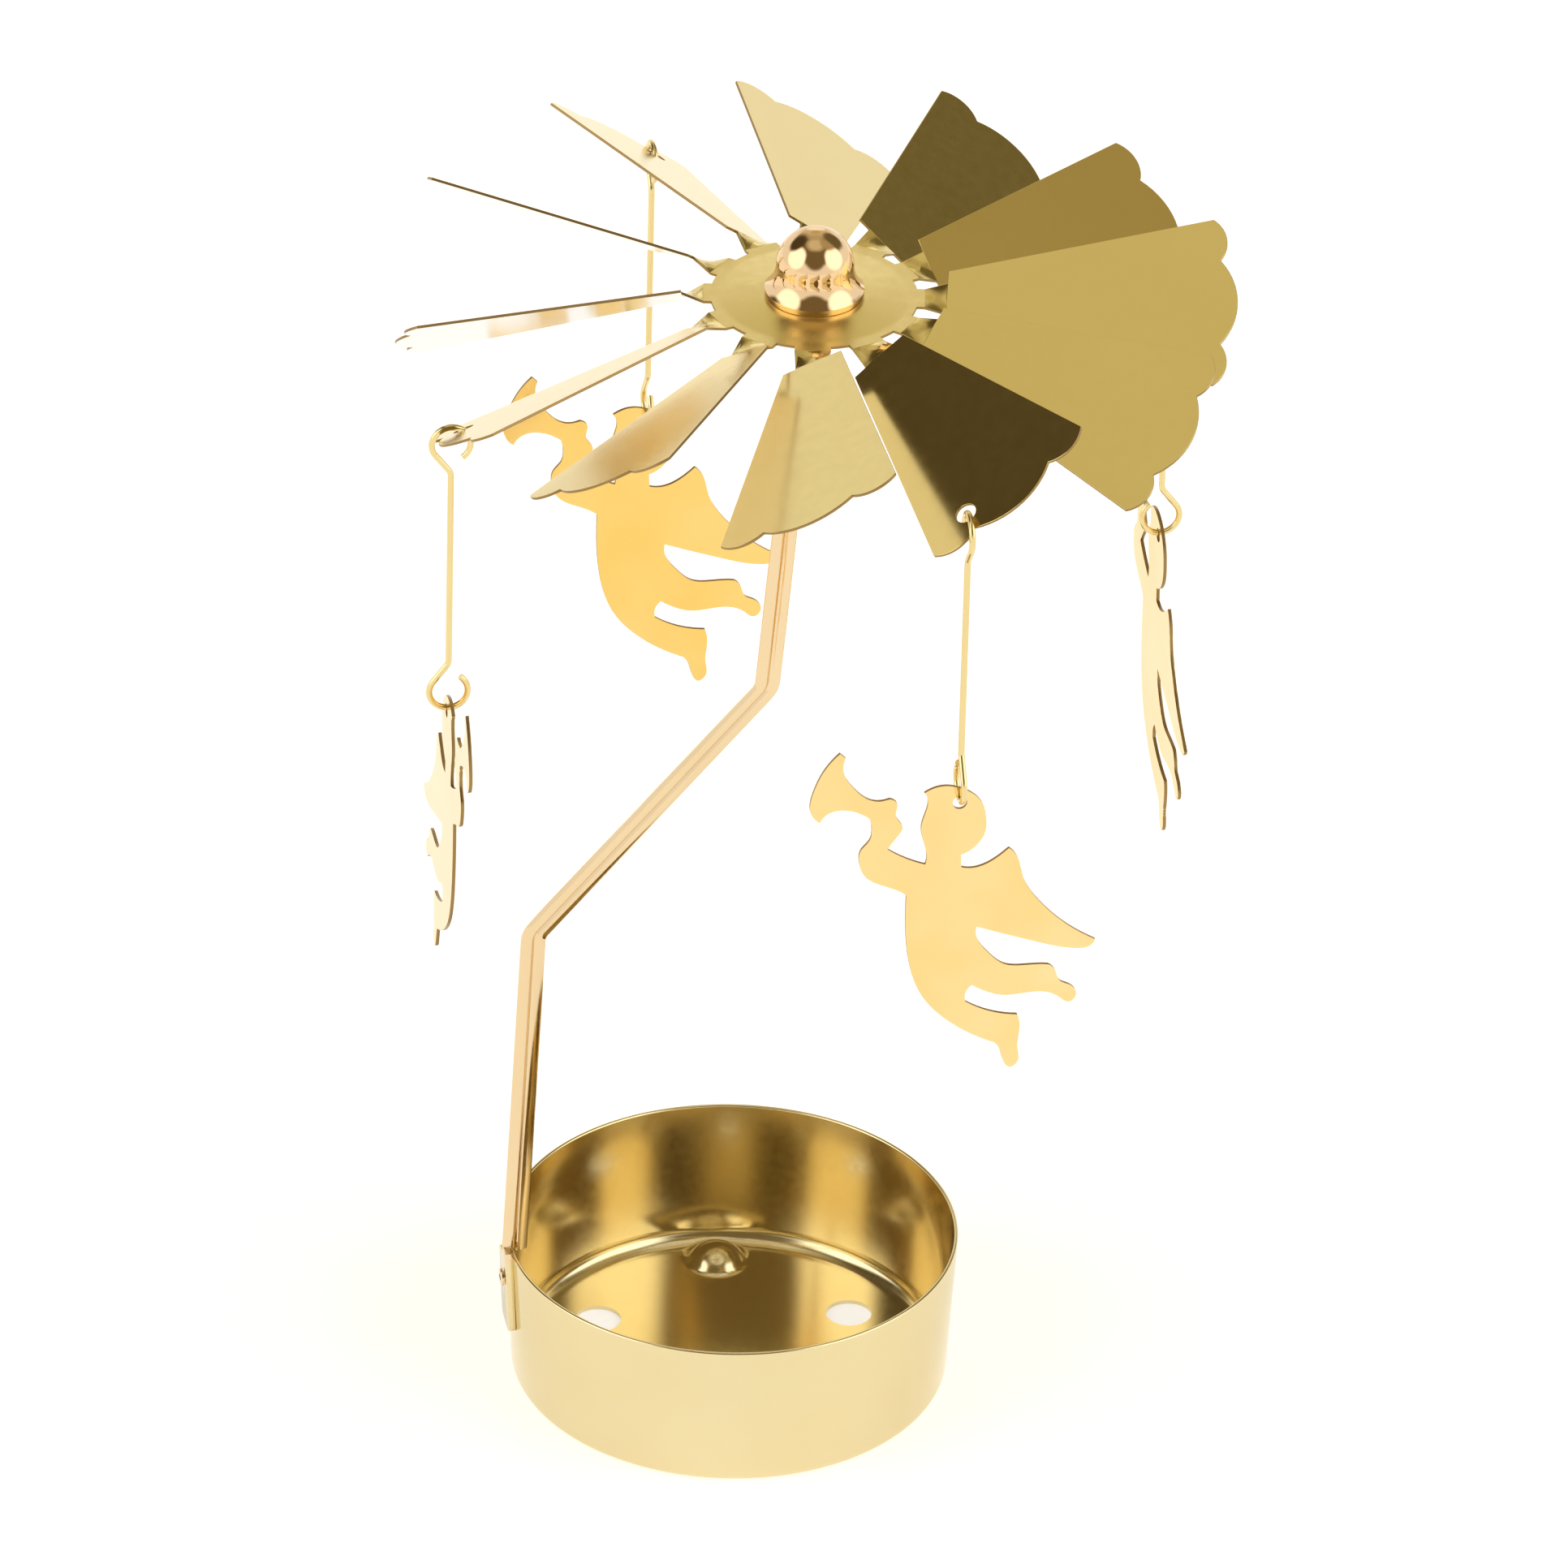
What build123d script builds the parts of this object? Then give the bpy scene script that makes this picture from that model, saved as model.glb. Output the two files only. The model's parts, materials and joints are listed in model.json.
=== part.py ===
"""Angel chime carousel: a tealight cup, a cranked post on its rim, and a bladed fan
that turns on a needle and carries four angels on wire hooks. Millimetres, +Z up,
origin at the centre of the cup's underside, the post on the -X side."""
import os
from math import acos, asin, atan2, cos, degrees, radians, sin, sqrt, tan

from build123d import *

os.makedirs("parts", exist_ok=True)

# Cup
RIM_R = 32.5
BASE_R = 31.4
CUP_H = 23.0
CUP_SHEET = 0.6
CUP_CORNER_R = 1.8
RIM_ROUND = 0.3 * CUP_SHEET
PIP_COUNT = 3
PIP_R = 4.4
PIP_H = 2.5
PIP_PHASE = 83.5
PIP_CIRCLE_R = BASE_R - CUP_CORNER_R - PIP_R
VENT_D = 6.6
VENT_INSET = 4.2
VENT_CIRCLE_R = PIP_CIRCLE_R - VENT_INSET
VENT_PHASE = PIP_PHASE - 180 / PIP_COUNT

# Post, drawn in the XZ plane: a leg over the rim, a crank across the cup, a leg to the needle
FIT = 0.03
STRIP_W = 3.6
STRIP_T = 0.6
STRIP_FOLD = 30.0
BEND_R = 2.4
FOOT_INSET = 0.7
FOOT_GAP = 0.1
LEG_LEAN, LEG_H = 2.1, 53.0
CRANK_REACH, CRANK_H = 32.7, 37.8
NECK_LEAN, NECK_H = 5.4, 62.2
STRIP_TO_FAN = 16.7
FOOT = (FOOT_INSET - RIM_R, CUP_H + FOOT_GAP)
BEND_1 = (FOOT[0] + LEG_LEAN, FOOT[1] + LEG_H)
BEND_2 = (BEND_1[0] + CRANK_REACH, BEND_1[1] + CRANK_H)
TAB_W = 6.0
TAB_T = 1.0
TAB_H = 12.2
TAB_DROP = 1.0
TAB_ROUND = 1.2
TAB_NECK_W = 2.0
TAB_NECK_H = 3.0
TAB_NECK_Y = -0.8

# Rivet in the tab
RIVET_DROP = 5.1
RIVET_Z = CUP_H - RIVET_DROP
RIVET_SHANK_R = 0.8
RIVET_HEAD_R = 1.3
RIVET_HEAD_T = 0.4
RIVET_HEAD_ROUND = 0.6 * RIVET_HEAD_T
RIVET_BORE_R = 0.5
RIVET_BORE_DEPTH = 1.2

# Fan
AXIS_X = BEND_2[0] + NECK_LEAN
FAN_Z = BEND_2[1] + NECK_H
FAN_SHEET = 0.4
BLADE_COUNT = 12
BLADE_PHASE = 18.4
BLADE_PITCH = 31.5
BLADE_DROOP = 4.7
# How each blade stands off the stamped shape, in degrees: turned, drooped, pitched
BLADE_BENDS = [
    (1.5, -0.5, 0.0),
    (1.5, 1.5, 1.0),
    (1.0, 1.5, 0.5),
    (1.5, -2.0, 4.5),
    (3.0, -5.0, 4.0),
    (7.0, 4.0, 6.0),
    (-1.5, 8.0, -1.0),
    (-1.5, -1.5, 0.0),
    (0.0, -2.0, -3.0),
    (-1.0, -1.5, 3.5),
    (6.0, 5.0, -1.0),
    (-0.5, -6.0, -2.0),
]
BLADE_HALF_ANGLE = 13.55
BLADE_REACH = 58.4
BLADE_CORNER_BACK = 3.4
SMALL_LOBE_BACK = 1.5
NOTCH_BACK = 2.4
NOTCH_W = 6.7
HUB_R = 14.4
HUB_LIP = 1.2
NECK_W = 5.0
NECK_ROOT_OUT, NECK_MID_OUT, BLADE_ROOT_OUT = 0.8, 2.1, 4.0
NECK_ROOT_R = HUB_R + NECK_ROOT_OUT
NECK_MID_R = HUB_R + NECK_MID_OUT
BLADE_ROOT_R = HUB_R + BLADE_ROOT_OUT
HUB_RISE = 0.4
CROWN_R = HUB_R - HUB_LIP
HUB_Z = FAN_Z + FAN_SHEET / 2 + HUB_RISE

# Cap
DOME_R = 5.4
DOME_LIFT = 4.5
DOME_Z = HUB_Z + DOME_LIFT
CAP_T = 0.5
SKIRT_OUT, SKIRT_H = 1.5, 0.9
SKIRT_R = DOME_R + SKIRT_OUT
SKIRT_MARGIN = 0.5
CAP_SEAT_R = SKIRT_R + SKIRT_MARGIN

# Pivot cup and needle
PIVOT_R = 3.4
PIVOT_WALL = 0.8
PIVOT_BORE_R = PIVOT_R - PIVOT_WALL
PIVOT_FLANGE_OUT, PIVOT_FLANGE_T = 1.8, 0.9
PIVOT_FLANGE_R = PIVOT_R + PIVOT_FLANGE_OUT
PIVOT_CONE_H = 3.4
PIVOT_ROOF = 0.9
PIVOT_CRIMP = 0.05
PIVOT_GAP = 0.3
CAP_CLEAR = 0.75
HUB_BORE_R = PIVOT_R + PIVOT_CRIMP
PIVOT_APEX_Z = DOME_Z + DOME_R - CAP_T - CAP_CLEAR - PIVOT_ROOF
NEEDLE_R = 0.75
NEEDLE_TIP_Z = PIVOT_APEX_Z - PIVOT_GAP
NEEDLE_TIP_R = 0.08
NEEDLE_TAPER = 3.4
NEEDLE_SEAT = 12.0
STRIP_TOP_Z = FAN_Z - STRIP_TO_FAN

# Wire hooks: each top ring goes round the land between its hole and a blade's notch
WIRE_R = 0.45
RING_R = 2.7
RING_RISE = 1.32
RING_DROP = RING_R - RING_RISE
LAND_BACK = 1.25
LAND_SHIFT = 0.15
LAND = (BLADE_REACH - NOTCH_BACK - LAND_BACK, -NOTCH_W - LAND_SHIFT)
HOOK_HOLE_ROOM = 2.1
HOOK_HOLE_D = 2 * WIRE_R + HOOK_HOLE_ROOM
HOOK_L = 45.0
KINK_DROP = 1.8
KINK_H = RING_R + KINK_DROP
KINK_R = 1.5
HOOK_OPEN = 53.0
HOOK_TURN = -12.0

# Angels
ANGEL_H = 53.2
ANGEL_T = 0.5
ANGEL_PLAY = 0.1
ANGEL_HOLE_ROOM = 1.1
ANGEL_HOLE_D = 2 * WIRE_R + ANGEL_HOLE_ROOM
ANGEL_HOLE_Y = WIRE_R + ANGEL_PLAY - ANGEL_HOLE_D / 2

# Silhouette of one angel, its wire at (0, 0): runs of points, each a smooth curve,
# brought to the height above where it is used
ANGEL_OUTLINE = [
    [(-16.9, 8.9), (-19.1, 6.2), (-20.5, 2.9), (-20.9, 0.4), (-19.5, -2.0)],
    [(-19.5, -2.0), (-17.5, -0.3), (-15.4, -0.4), (-12.5, -2.0)],
    [(-12.5, -2.0), (-12.2, -3.7), (-12.5, -5.5), (-13.6, -6.9), (-13.8, -9.1), (-12.9, -11.3),
     (-9.6, -13.3), (-7.1, -14.8)],
    [(-7.1, -14.8), (-7.1, -19.1), (-6.6, -24.8), (-4.7, -31.0), (-0.4, -36.1), (5.9, -40.0)],
    [(5.9, -40.0), (6.8, -41.4), (7.3, -43.1), (8.3, -44.3), (9.3, -43.6), (9.3, -41.3),
     (9.5, -37.8), (9.1, -35.7)],
    [(9.1, -35.7), (5.8, -35.0), (1.7, -32.9)],
    [(1.7, -32.9), (1.7, -31.4), (2.5, -30.3)],
    [(2.5, -30.3), (4.3, -31.4), (6.7, -32.3), (11.3, -32.2), (15.4, -33.9)],
    [(15.4, -33.9), (16.8, -34.1), (17.3, -33.2), (16.3, -31.5), (14.9, -30.7), (14.3, -29.2),
     (13.2, -27.9)],
    [(13.2, -27.9), (10.1, -27.7), (7.1, -27.3), (4.7, -25.2), (2.9, -22.2), (2.9, -20.8)],
    [(2.9, -20.8), (6.2, -22.1), (11.3, -24.0), (16.9, -25.6), (19.0, -25.4), (19.7, -24.4)],
    [(19.7, -24.4), (15.4, -21.4), (11.6, -17.4), (9.2, -13.2), (8.2, -9.7), (7.1, -8.4)],
    [(7.1, -8.4), (5.3, -9.9), (3.1, -11.0), (0.5, -10.9)],
    [(0.5, -10.9), (0.4, -8.9)],
    [(0.4, -8.9), (2.4, -7.7), (3.6, -5.8), (3.7, -2.8), (3.1, -0.7), (1.6, 1.0), (-0.3, 2.0)],
    [(-0.3, 2.0), (-2.6, 2.4), (-5.0, 1.5)],
    [(-5.0, 1.5), (-4.5, 0.5), (-4.8, -1.8), (-5.3, -3.8), (-4.9, -6.4), (-4.4, -8.7),
     (-4.6, -10.0)],
    [(-4.6, -10.0), (-7.1, -8.9), (-9.9, -7.1)],
    [(-9.9, -7.1), (-8.6, -5.2), (-7.9, -3.7), (-8.9, -1.7), (-8.7, -0.1), (-9.8, 1.0)],
    [(-9.8, 1.0), (-12.6, 1.1), (-14.8, 3.1), (-16.2, 5.4), (-16.1, 8.1)],
    [(-16.1, 8.1), (-16.9, 8.9)],
]

# Hook names in turning order from the first drilled blade, and the way each angel faces
HOOK_NAMES = ["right", "back", "left", "front"]
ANGEL_FACES = {"right": 1, "back": 1, "left": 1, "front": -1}

WALL_DRAFT = degrees(atan2(RIM_R - BASE_R, CUP_H))


def wall_r(z):
    """Outer radius of the cup wall at height z."""
    return BASE_R + (RIM_R - BASE_R) * z / CUP_H


def polar(radius, angle):
    return radius * cos(radians(angle)), radius * sin(radians(angle))


blade_angles = [BLADE_PHASE + 360 / BLADE_COUNT * blade for blade in range(BLADE_COUNT)]
hooked_blades = range(0, BLADE_COUNT, BLADE_COUNT // len(HOOK_NAMES))[: len(HOOK_NAMES)]


# Cup: a drawn pan with three pressed pips and three vents in its floor
with BuildPart() as base_cup:
    Cone(BASE_R, RIM_R, CUP_H, align=(Align.CENTER, Align.CENTER, Align.MIN))
    fillet(base_cup.edges().sort_by(Axis.Z)[0], CUP_CORNER_R)
    offset(amount=-CUP_SHEET, openings=base_cup.faces().sort_by(Axis.Z)[-1])
    fillet(base_cup.faces().sort_by(Axis.Z)[-1].edges(), RIM_ROUND)
    pip_sphere_r = (PIP_R ** 2 + PIP_H ** 2) / (2 * PIP_H)
    pip_z = CUP_SHEET + PIP_H - pip_sphere_r
    hollow_r = pip_sphere_r - CUP_SHEET
    outer_cut = degrees(asin((CUP_SHEET / 2 - pip_z) / pip_sphere_r))
    hollow_cut = degrees(asin(-pip_z / hollow_r))
    stand = (Align.CENTER, Align.CENTER, Align.MIN)
    with PolarLocations(PIP_CIRCLE_R, PIP_COUNT, start_angle=PIP_PHASE):
        with Locations((0, 0, CUP_SHEET / 2)):
            Sphere(pip_sphere_r, arc_size1=outer_cut, arc_size2=90, align=stand)
        Sphere(hollow_r, arc_size1=hollow_cut, arc_size2=90, align=stand, mode=Mode.SUBTRACT)
    with PolarLocations(VENT_CIRCLE_R, PIP_COUNT, start_angle=VENT_PHASE):
        Cylinder(VENT_D / 2, 4 * CUP_SHEET, mode=Mode.SUBTRACT)
    rivet_plane = Plane(
        origin=(-wall_r(RIVET_Z), 0, RIVET_Z),
        x_dir=(0, 1, 0),
        z_dir=(-cos(radians(WALL_DRAFT)), 0, -sin(radians(WALL_DRAFT))),
    )
    with Locations(rivet_plane):
        Cylinder(RIVET_SHANK_R + FIT, 6 * CUP_SHEET, mode=Mode.SUBTRACT)

# Post: a folded strip, cranked twice, with a flat tab that hangs outside the cup wall
fold = radians(STRIP_FOLD)
needle_run = Vector(AXIS_X - BEND_2[0], 0, NEEDLE_TIP_Z - BEND_2[1]).normalized()
strip_top_x = BEND_2[0] + needle_run.X / needle_run.Z * (STRIP_TOP_Z - BEND_2[1])
ridge_y = -(NEEDLE_R + FIT + STRIP_T) / cos(fold)
edge_y = ridge_y + STRIP_W / 2 * sin(fold) / cos(fold)
with BuildPart() as post:
    with BuildLine(Plane.XZ) as post_path:
        FilletPolyline(
            FOOT, BEND_1, BEND_2, (strip_top_x, STRIP_TOP_Z), radius=BEND_R
        )
    foot_run = post_path.wire() % 0
    foot_plane = Plane(
        origin=post_path.wire() @ 0, x_dir=(foot_run.Z, 0, -foot_run.X), z_dir=foot_run
    )
    with BuildSketch(foot_plane):
        with BuildLine():
            Polyline(
                (-STRIP_W / 2, edge_y),
                (0, ridge_y),
                (STRIP_W / 2, edge_y),
                (STRIP_W / 2 - STRIP_T * sin(fold), edge_y + STRIP_T * cos(fold)),
                (0, ridge_y + STRIP_T / cos(fold)),
                (-STRIP_W / 2 + STRIP_T * sin(fold), edge_y + STRIP_T * cos(fold)),
                close=True,
            )
        make_face()
    sweep(path=post_path.wire())
    slope = cos(radians(WALL_DRAFT))
    tab_plane = rivet_plane.offset(FIT)
    tab_top = (RIVET_DROP - TAB_DROP) / slope
    with BuildSketch(tab_plane):
        with Locations((0, tab_top - TAB_H / 2)):
            RectangleRounded(TAB_W, TAB_H, TAB_ROUND)
        with Locations((TAB_NECK_Y, tab_top + TAB_NECK_H / 2 - TAB_ROUND / 2)):
            Rectangle(TAB_NECK_W, TAB_NECK_H + TAB_ROUND)
        Circle(RIVET_SHANK_R + FIT, mode=Mode.SUBTRACT)
    extrude(amount=TAB_T)

# Rivet: a tubular rivet that holds the tab to the wall
with BuildPart() as tab_rivet:
    with BuildSketch(rivet_plane.offset(FIT + TAB_T)):
        Circle(RIVET_HEAD_R)
    extrude(amount=RIVET_HEAD_T)
    fillet(tab_rivet.faces().sort_by(Axis.X)[0].edges(), RIVET_HEAD_ROUND)
    with BuildSketch(rivet_plane.offset(-CUP_SHEET - 2 * FIT)):
        Circle(RIVET_SHANK_R)
    extrude(amount=CUP_SHEET + TAB_T + 3 * FIT)
    with BuildSketch(rivet_plane.offset(-CUP_SHEET - 2 * FIT)):
        Circle(RIVET_HEAD_R)
    extrude(amount=-RIVET_HEAD_T)
    with BuildSketch(rivet_plane.offset(FIT + TAB_T + RIVET_HEAD_T)):
        Circle(RIVET_BORE_R)
    extrude(amount=-RIVET_BORE_DEPTH, mode=Mode.SUBTRACT)

# Needle: lies in the fold at the top of the post and ends in a point on the fan's axis
needle_l = (NEEDLE_TIP_Z - STRIP_TOP_Z) / needle_run.Z + NEEDLE_SEAT
needle_plane = Plane(
    origin=Vector(AXIS_X, 0, NEEDLE_TIP_Z) - needle_run * needle_l, x_dir=(0, 1, 0), z_dir=needle_run
)
with BuildPart() as pivot_needle:
    with BuildSketch(needle_plane):
        Circle(NEEDLE_R)
    extrude(amount=needle_l - NEEDLE_TAPER)
    with BuildSketch(needle_plane.offset(needle_l - NEEDLE_TAPER)):
        Circle(NEEDLE_R)
    with BuildSketch(needle_plane.offset(needle_l)):
        Circle(NEEDLE_TIP_R)
    loft()


def neck_point(blade, radius):
    """Point in the hub's plane, on the middle line of a blade's neck."""
    return Vector(AXIS_X, 0, FAN_Z) + Vector(*polar(radius, blade_angles[blade]), 0)


def blade_plane(blade):
    """Plane of one blade: x runs out along the blade, y across it towards its high edge."""
    turned, drooped, pitched = BLADE_BENDS[blade % len(BLADE_BENDS)]
    turn = radians(blade_angles[blade] + turned)
    droop = radians(BLADE_DROOP + drooped)
    pitch = radians(BLADE_PITCH + pitched)
    out = Vector(cos(turn), sin(turn), 0)
    side = Vector(-sin(turn), cos(turn), 0)
    up = Vector(0, 0, 1)
    along = out * cos(droop) - up * sin(droop)
    face = out * sin(droop) + up * cos(droop)
    return Plane(
        origin=neck_point(blade, NECK_MID_R),
        x_dir=along,
        z_dir=face * cos(pitch) - side * sin(pitch),
    )


def blade_point(blade, x, w):
    """Point on a blade's middle surface, x from the axis along the blade and w across it."""
    return blade_plane(blade).from_local_coords((x - NECK_MID_R, w, 0))


def hook_plane(blade):
    """Plane of one wire hook: origin at its top ring's centre, x outwards, y up."""
    bridge = blade_point(blade, *LAND)
    bearing = degrees(atan2(bridge.Y, bridge.X - AXIS_X)) + HOOK_TURN
    out = Vector(cos(radians(bearing)), sin(radians(bearing)), 0)
    return Plane(origin=bridge - Vector(0, 0, RING_DROP), x_dir=out, z_dir=(out.Y, -out.X, 0))


def ring_hole(blade):
    """Place on a blade, from its plane's origin, where the inner side of a ring goes through."""
    sheet, hook = blade_plane(blade), hook_plane(blade)
    rise_x, rise_y = hook.x_dir.dot(sheet.z_dir), hook.y_dir.dot(sheet.z_dir)
    height = (sheet.origin - hook.origin).dot(sheet.z_dir)
    middle = atan2(rise_y, rise_x)
    spread = acos(height / (RING_R * sqrt(rise_x ** 2 + rise_y ** 2)))
    crossings = []
    for turn in (middle - spread, middle + spread):
        ring_point = hook.from_local_coords((RING_R * cos(turn), RING_R * sin(turn), 0))
        crossings.append(sheet.to_local_coords(ring_point))
    inner = min(crossings, key=lambda crossing: crossing.X)
    return inner.X, inner.Y


# Fan: one sheet, a slightly raised hub with necks that twist into pitched, scalloped blades
blade_slope = tan(radians(BLADE_HALF_ANGLE))
root_w = BLADE_ROOT_R * blade_slope
corner_w = (BLADE_REACH - BLADE_CORNER_BACK) * blade_slope
tip_x = BLADE_REACH - NECK_MID_R
corner_x = tip_x - BLADE_CORNER_BACK
with BuildPart() as fan:
    with BuildSketch(Plane((AXIS_X, 0, FAN_Z))):
        Circle(HUB_R)
        with PolarLocations(0, BLADE_COUNT, start_angle=BLADE_PHASE):
            with Locations((NECK_ROOT_R / 2, 0)):
                Rectangle(NECK_ROOT_R, NECK_W)
        Circle(CROWN_R, mode=Mode.SUBTRACT)
    extrude(amount=FAN_SHEET / 2, both=True)
    with BuildSketch(Plane((AXIS_X, 0, FAN_Z), x_dir=(1, 0, 0), z_dir=(0, -1, 0))):
        with BuildLine():
            Polyline(
                (CROWN_R, FAN_SHEET / 2),
                (CAP_SEAT_R, HUB_RISE + FAN_SHEET / 2),
                (HUB_BORE_R, HUB_RISE + FAN_SHEET / 2),
                (HUB_BORE_R, HUB_RISE - FAN_SHEET / 2),
                (CAP_SEAT_R, HUB_RISE - FAN_SHEET / 2),
                (CROWN_R, -FAN_SHEET / 2),
                close=True,
            )
        make_face()
    revolve(axis=Axis((AXIS_X, 0, 0), (0, 0, 1)))
    for blade in range(BLADE_COUNT):
        plane = blade_plane(blade)
        with BuildSketch(plane):
            with BuildLine():
                Polyline(
                    (corner_x, -corner_w),
                    (BLADE_ROOT_R - NECK_MID_R, -root_w),
                    (BLADE_ROOT_R - NECK_MID_R, root_w),
                    (corner_x, corner_w),
                )
                for side in (1, -1):
                    ThreePointArc(
                        (corner_x, side * corner_w),
                        (tip_x - SMALL_LOBE_BACK, side * (corner_w + NOTCH_W) / 2),
                        (tip_x - NOTCH_BACK, side * NOTCH_W),
                    )
                ThreePointArc(
                    (tip_x - NOTCH_BACK, NOTCH_W), (tip_x, 0), (tip_x - NOTCH_BACK, -NOTCH_W)
                )
            make_face()
            if blade in hooked_blades:
                with Locations(ring_hole(blade)):
                    Circle(HOOK_HOLE_D / 2, mode=Mode.SUBTRACT)
        extrude(amount=FAN_SHEET / 2, both=True)
        out = Vector(*polar(1, blade_angles[blade]), 0)
        root = Plane(
            origin=neck_point(blade, NECK_ROOT_R), x_dir=(-out.Y, out.X, 0), z_dir=out
        )
        end = Plane(
            origin=blade_point(blade, BLADE_ROOT_R, 0), x_dir=plane.y_dir, z_dir=plane.x_dir
        )
        with BuildSketch(root):
            Rectangle(NECK_W, FAN_SHEET)
        with BuildSketch(end):
            Rectangle(NECK_W, FAN_SHEET)
        loft(ruled=True)

# Pivot cup: a flanged bush, crimped up through the hub, with a cone that rides on the needle
hub_under_z = HUB_Z - FAN_SHEET
with BuildPart() as pivot_cup:
    with BuildSketch(Plane.XZ):
        with BuildLine():
            Polyline(
                (PIVOT_BORE_R, hub_under_z - PIVOT_FLANGE_T),
                (PIVOT_FLANGE_R, hub_under_z - PIVOT_FLANGE_T),
                (PIVOT_FLANGE_R, hub_under_z),
                (PIVOT_R, hub_under_z),
                (PIVOT_R, PIVOT_APEX_Z - PIVOT_ROOF),
                (PIVOT_R / 2, PIVOT_APEX_Z + PIVOT_ROOF),
                (0, PIVOT_APEX_Z + PIVOT_ROOF),
                (0, PIVOT_APEX_Z),
                (PIVOT_BORE_R, PIVOT_APEX_Z - PIVOT_CONE_H),
                close=True,
            )
        make_face()
    revolve(axis=Axis.Z)
pivot_cup.part = pivot_cup.part.moved(Location((AXIS_X, 0, 0)))

# Cap: a drawn dome that flares, from its widest level, out to a skirt that stands on the hub
flare_drop = DOME_Z - HUB_Z - SKIRT_H
flare_r = (SKIRT_OUT ** 2 + flare_drop ** 2) / (2 * SKIRT_OUT)
flare_x = DOME_R + flare_r


def flare_point(radius, angle):
    """Point of the flare's section, some degrees below the dome's widest level."""
    x, z = polar(radius, angle)
    return (flare_x - x, DOME_Z - z)


with BuildPart() as finial_cap:
    with BuildSketch(Plane.XZ):
        with BuildLine():
            inner_r = DOME_R - CAP_T
            inner_flare_r = flare_r + CAP_T
            outer_angle = degrees(asin(flare_drop / flare_r))
            inner_angle = degrees(acos((flare_x - SKIRT_R + CAP_T) / inner_flare_r))
            skirt_top = flare_point(flare_r, outer_angle)
            skirt_inside = flare_point(inner_flare_r, inner_angle)
            CenterArc((0, DOME_Z), DOME_R, 0, 90)
            ThreePointArc((DOME_R, DOME_Z), flare_point(flare_r, outer_angle / 2), skirt_top)
            Polyline(skirt_top, (SKIRT_R, HUB_Z), (SKIRT_R - CAP_T, HUB_Z), skirt_inside)
            ThreePointArc(
                skirt_inside, flare_point(inner_flare_r, inner_angle / 2), (inner_r, DOME_Z)
            )
            CenterArc((0, DOME_Z), inner_r, 0, 90)
            Line((0, DOME_Z + inner_r), (0, DOME_Z + DOME_R))
        make_face()
    revolve(axis=Axis.Z)
finial_cap.part = finial_cap.part.moved(Location((AXIS_X, 0, 0)))


def wire_hook(plane):
    """Wire with an open ring at each end, both rings entered from the outer side."""
    lean = degrees(asin(RING_R / KINK_H))
    drop = HOOK_L - 2 * RING_R
    arc = 180 + lean + HOOK_OPEN
    x, y = polar(RING_R, lean)
    with BuildPart() as wire:
        with BuildLine(plane) as path:
            CenterArc((0, 0), RING_R, 180 + HOOK_OPEN, -arc)
            FilletPolyline(
                (x, -y), (0, -KINK_H), (0, KINK_H - drop), (x, y - drop), radius=KINK_R
            )
            CenterArc((0, -drop), RING_R, lean, -arc)
        run = path.wire()
        with BuildSketch(Plane(origin=run @ 0, z_dir=run % 0)):
            Circle(WIRE_R)
        sweep(path=run)
    return wire.part


def angel_plate(plane, face):
    """Flat angel hung from the bottom of its hook, across the hook's own plane."""
    foot = plane.from_local_coords((0, -(HOOK_L - RING_R), 0))
    across = plane.z_dir * face
    stand = Plane(origin=foot, x_dir=across, z_dir=(across.Y, -across.X, 0))
    heights = [y for run in ANGEL_OUTLINE for x, y in run]
    size = ANGEL_H / (max(heights) - min(heights))
    with BuildPart() as plate:
        with BuildSketch(stand):
            with BuildLine():
                for run in ANGEL_OUTLINE:
                    points = [(size * x, size * y) for x, y in run]
                    if len(points) == 2:
                        Line(*points)
                    else:
                        Spline(*points)
            make_face()
            with Locations((0, ANGEL_HOLE_Y)):
                Circle(ANGEL_HOLE_D / 2, mode=Mode.SUBTRACT)
        extrude(amount=ANGEL_T / 2, both=True)
    return plate.part


base_cup.part.label = "base_cup"
export_step(base_cup.part, "parts/base_cup.step")
post.part.label = "post"
export_step(post.part, "parts/post.step")
tab_rivet.part.label = "tab_rivet"
export_step(tab_rivet.part, "parts/tab_rivet.step")
pivot_needle.part.label = "pivot_needle"
export_step(pivot_needle.part, "parts/pivot_needle.step")
fan.part.label = "fan"
export_step(fan.part, "parts/fan.step")
pivot_cup.part.label = "pivot_cup"
export_step(pivot_cup.part, "parts/pivot_cup.step")
finial_cap.part.label = "finial_cap"
export_step(finial_cap.part, "parts/finial_cap.step")
for name, blade in zip(HOOK_NAMES, hooked_blades):
    plane = hook_plane(blade)
    hook = wire_hook(plane)
    hook.label = "hook_" + name
    export_step(hook, "parts/hook_" + name + ".step")
    angel = angel_plate(plane, ANGEL_FACES[name])
    angel.label = "angel_" + name
    export_step(angel, "parts/angel_" + name + ".step")
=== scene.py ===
"""Looks of the angel chime carousel: its studio, its camera and the finish of every piece.
Metres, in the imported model's frame. MM turns millimetres into metres."""
import json
import math

import bpy
from mathutils import Matrix, Vector


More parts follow.
